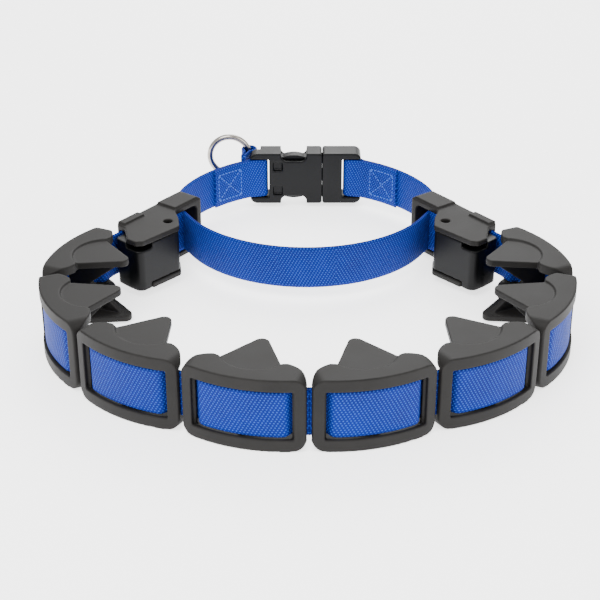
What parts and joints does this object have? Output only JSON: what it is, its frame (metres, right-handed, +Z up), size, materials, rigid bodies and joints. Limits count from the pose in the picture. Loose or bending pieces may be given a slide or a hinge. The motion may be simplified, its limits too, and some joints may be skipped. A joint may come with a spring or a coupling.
{
  "type": "martingale training collar",
  "caption": "Training collar: pronged plastic links on flat webbing, two hinged end housings, and a webbing control loop with side-release buckle and leash ring.",
  "frame": {"origin": "centre of the bounding box, on the surface the collar rests on", "axes": "+Z up; +Y from the front of the link chain to the buckle; +X to the side of the buckle's male half"},
  "size_m": [0.2158, 0.2292, 0.034],
  "materials": {
    "link_plastic": "fine moulded texture",
    "webbing": "woven flat webbing, royal blue",
    "buckle_plastic": "satin moulded plastic",
    "ring_metal": "polished nickel plate"
  },
  "bodies": {
    "root": {"buckle_female": "buckle_plastic", "sewn_fold_left": "webbing", "control_back_left": "webbing", "ring_tab": "webbing"},
    "leash_ring": {"leash_ring": "ring_metal"},
    "buckle_male": {"buckle_male": "buckle_plastic", "sewn_fold_right": "webbing", "control_back_right": "webbing"},
    "yoke_left": {"yoke_left": "link_plastic", "gate_pin_left": "ring_metal", "chain_webbing_end_left": "webbing", "control_turn_left": "webbing", "control_front_left": "webbing"},
    "gate_left": {"gate_left": "buckle_plastic"},
    "link_left_1": {"link_left_1": "link_plastic", "chain_webbing_left_1": "webbing"},
    "link_left_2": {"link_left_2": "link_plastic", "chain_webbing_left_2": "webbing"},
    "link_left_3": {"link_left_3": "link_plastic", "chain_webbing_left_3": "webbing"},
    "link_left_4": {"link_left_4": "link_plastic", "chain_webbing_left_4": "webbing"},
    "yoke_right": {"yoke_right": "link_plastic", "gate_pin_right": "ring_metal", "chain_webbing_end_right": "webbing", "control_turn_right": "webbing", "control_front_right": "webbing"},
    "gate_right": {"gate_right": "buckle_plastic"},
    "link_right_1": {"link_right_1": "link_plastic", "chain_webbing_right_1": "webbing"},
    "link_right_2": {"link_right_2": "link_plastic", "chain_webbing_right_2": "webbing"},
    "link_right_3": {"link_right_3": "link_plastic", "chain_webbing_right_3": "webbing"},
    "link_right_4": {"link_right_4": "link_plastic", "chain_webbing_right_4": "webbing"}
  },
  "joints": [
    {"name": "buckle_release", "type": "slide", "parent": "root", "child": "buckle_male", "axis": [1, 0, 0], "range_m": [0, 0.024], "deforming": ["control_front_left", "control_front_right", "control_turn_left", "control_turn_right", "control_back_left", "control_back_right"]},
    {"name": "tighten_left", "type": "slide", "parent": "root", "child": "yoke_left", "axis": [0.9404, -0.3401, 0], "range_m": [-0.006, 0.016], "deforming": ["control_front_left", "control_front_right", "control_turn_left", "control_turn_right", "control_back_left", "control_back_right"]},
    {"name": "tighten_right", "type": "slide", "parent": "buckle_male", "child": "yoke_right", "axis": [-0.9404, -0.3401, 0], "range_m": [-0.006, 0.016], "deforming": ["control_front_left", "control_front_right", "control_turn_left", "control_turn_right", "control_back_left", "control_back_right"]},
    {"name": "leash_ring_swing", "type": "hinge", "parent": "root", "child": "leash_ring", "pos_m": [-0.0275, 0.11067, 0.023], "axis": [0, 0, -1], "range_deg": [0, 110]},
    {"name": "gate_left_open", "type": "hinge", "parent": "yoke_left", "child": "gate_left", "pos_m": [-0.0608, 0.02576, 0.015], "axis": [0, 0, 1], "range_deg": [0, 60]},
    {"name": "link_left_4_bend", "type": "hinge", "parent": "yoke_left", "child": "link_left_4", "pos_m": [-0.08521, 0.01497, 0.015], "axis": [0, 0, 1], "range_deg": [-6.92, 2.66]},
    {"name": "link_left_3_bend", "type": "hinge", "parent": "link_left_4", "child": "link_left_3", "pos_m": [-0.10535, -0.02843, 0.015], "axis": [0, 0, 1], "range_deg": [-0.1, 8.39]},
    {"name": "link_left_2_bend", "type": "hinge", "parent": "link_left_3", "child": "link_left_2", "pos_m": [-0.08619, -0.07228, 0.015], "axis": [0, 0, 1], "range_deg": [-4.12, 4.12]},
    {"name": "chain_flex", "type": "hinge", "parent": "link_left_2", "child": "link_left_1", "pos_m": [-0.04602, -0.09827, 0.015], "axis": [0, 0, 1], "range_deg": [-12, 12]},
    {"name": "gate_right_open", "type": "hinge", "parent": "yoke_right", "child": "gate_right", "pos_m": [0.0608, 0.02576, 0.015], "axis": [0, 0, -1], "range_deg": [0, 60]},
    {"name": "link_right_4_bend", "type": "hinge", "parent": "yoke_right", "child": "link_right_4", "pos_m": [0.08521, 0.01497, 0.015], "axis": [0, 0, -1], "range_deg": [-6.92, 2.66]},
    {"name": "link_right_3_bend", "type": "hinge", "parent": "link_right_4", "child": "link_right_3", "pos_m": [0.10535, -0.02843, 0.015], "axis": [0, 0, -1], "range_deg": [-0.1, 8.39]},
    {"name": "link_right_2_bend", "type": "hinge", "parent": "link_right_3", "child": "link_right_2", "pos_m": [0.08619, -0.07228, 0.015], "axis": [0, 0, -1], "range_deg": [-4.12, 4.12]},
    {"name": "link_right_1_bend", "type": "hinge", "parent": "link_right_2", "child": "link_right_1", "pos_m": [0.04602, -0.09827, 0.015], "axis": [0, 0, -1], "range_deg": [-12, 12]}
  ],
  "couplings": [
    {"joint": "tighten_right", "follows": "tighten_left", "ratio": 1},
    {"joint": "link_left_4_bend", "follows": "tighten_left", "rad_per_m": -7.4426},
    {"joint": "link_left_3_bend", "follows": "buckle_release", "rad_per_m": 6.0279},
    {"joint": "link_left_2_bend", "follows": "chain_flex", "ratio": -0.33527},
    {"joint": "link_right_4_bend", "follows": "tighten_left", "rad_per_m": -7.4426},
    {"joint": "link_right_3_bend", "follows": "buckle_release", "rad_per_m": 6.0279},
    {"joint": "link_right_2_bend", "follows": "chain_flex", "ratio": -0.33527},
    {"joint": "link_right_1_bend", "follows": "chain_flex", "ratio": 1}
  ]
}
